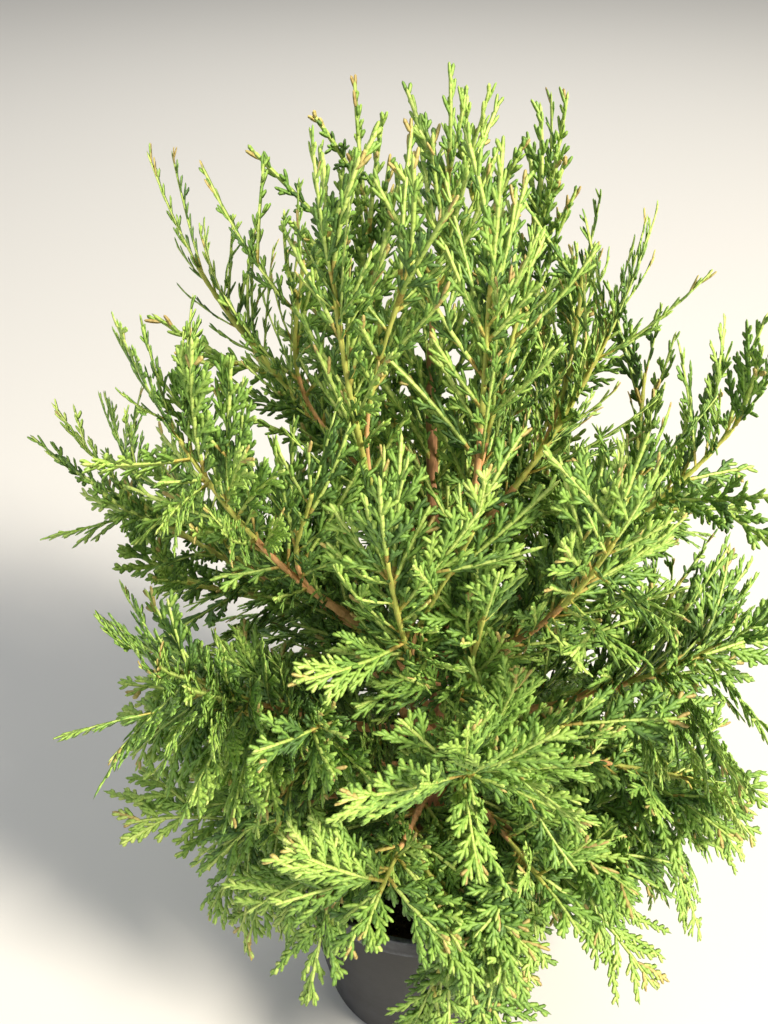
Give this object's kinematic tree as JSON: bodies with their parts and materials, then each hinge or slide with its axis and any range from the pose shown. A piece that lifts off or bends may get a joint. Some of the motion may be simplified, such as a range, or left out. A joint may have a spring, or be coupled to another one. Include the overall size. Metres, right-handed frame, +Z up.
{
  "type": "potted thuja",
  "caption": "Young bushy conifer with flat ferny sprays on ascending boughs, standing in a round tapered nursery pot filled with soil.",
  "frame": {"origin": "centre of the pot's flat underside", "axes": "+Z up along the trunk, -Y towards the side the picture shows as the front, +X to its right"},
  "size_m": [0.4303, 0.3833, 0.6231],
  "materials": {
    "pot_plastic": "moulded recycled polypropylene, dark grey, matt and slightly dusty",
    "potting_soil": "loose peaty potting soil with small crumbs and bark chips",
    "trunk_bark": "thin fibrous red-brown bark with fine strips",
    "bough_bark": "young smooth orange-brown bark",
    "foliage": "waxy scale leaves pressed flat on the branchlets, fresh yellow-green to deep green"
  },
  "bodies": {
    "root": {"pot": "pot_plastic", "soil": "potting_soil", "trunk": "trunk_bark", "bough_low_back": "bough_bark", "bough_low_back_left": "bough_bark", "bough_low_back_right": "bough_bark", "bough_low_front": "bough_bark", "bough_low_front_left": "bough_bark", "bough_low_front_right": "bough_bark", "bough_low_left": "bough_bark", "bough_low_right": "bough_bark", "bough_lower_middle_back_left": "bough_bark", "bough_lower_middle_back_right": "bough_bark", "bough_lower_middle_front": "bough_bark", "bough_lower_middle_front_right": "bough_bark", "bough_lower_middle_left": "bough_bark", "bough_lower_middle_right": "bough_bark", "bough_middle_front_left": "bough_bark", "bough_middle_right": "bough_bark", "bough_top_front": "bough_bark", "bough_upper_front_left": "bough_bark", "bough_upper_front_right": "bough_bark", "foliage_heart_back": "foliage", "foliage_heart_front": "foliage", "foliage_heart_left": "foliage", "foliage_heart_right": "foliage", "foliage_leader": "foliage", "foliage_low_back": "foliage", "foliage_low_back_left": "foliage", "foliage_low_back_right": "foliage", "foliage_low_front": "foliage", "foliage_low_front_left": "foliage", "foliage_low_front_right": "foliage", "foliage_low_left": "foliage", "foliage_low_right": "foliage", "foliage_lower_middle_back_left": "foliage", "foliage_lower_middle_back_right": "foliage", "foliage_lower_middle_front": "foliage", "foliage_lower_middle_front_right": "foliage", "foliage_lower_middle_left": "foliage", "foliage_lower_middle_right": "foliage", "foliage_middle_back": "foliage", "foliage_middle_back_left": "foliage", "foliage_middle_back_right": "foliage", "foliage_middle_front": "foliage", "foliage_middle_front_left": "foliage", "foliage_middle_right": "foliage", "foliage_top_back_left": "foliage", "foliage_top_back_right": "foliage", "foliage_top_front": "foliage", "foliage_top_front_left": "foliage", "foliage_top_left": "foliage", "foliage_top_right": "foliage", "foliage_upper_back": "foliage", "foliage_upper_back_right": "foliage", "foliage_upper_front": "foliage", "foliage_upper_front_left": "foliage", "foliage_upper_front_right": "foliage", "foliage_upper_left": "foliage", "foliage_upper_right": "foliage"}
  },
  "joints": []
}
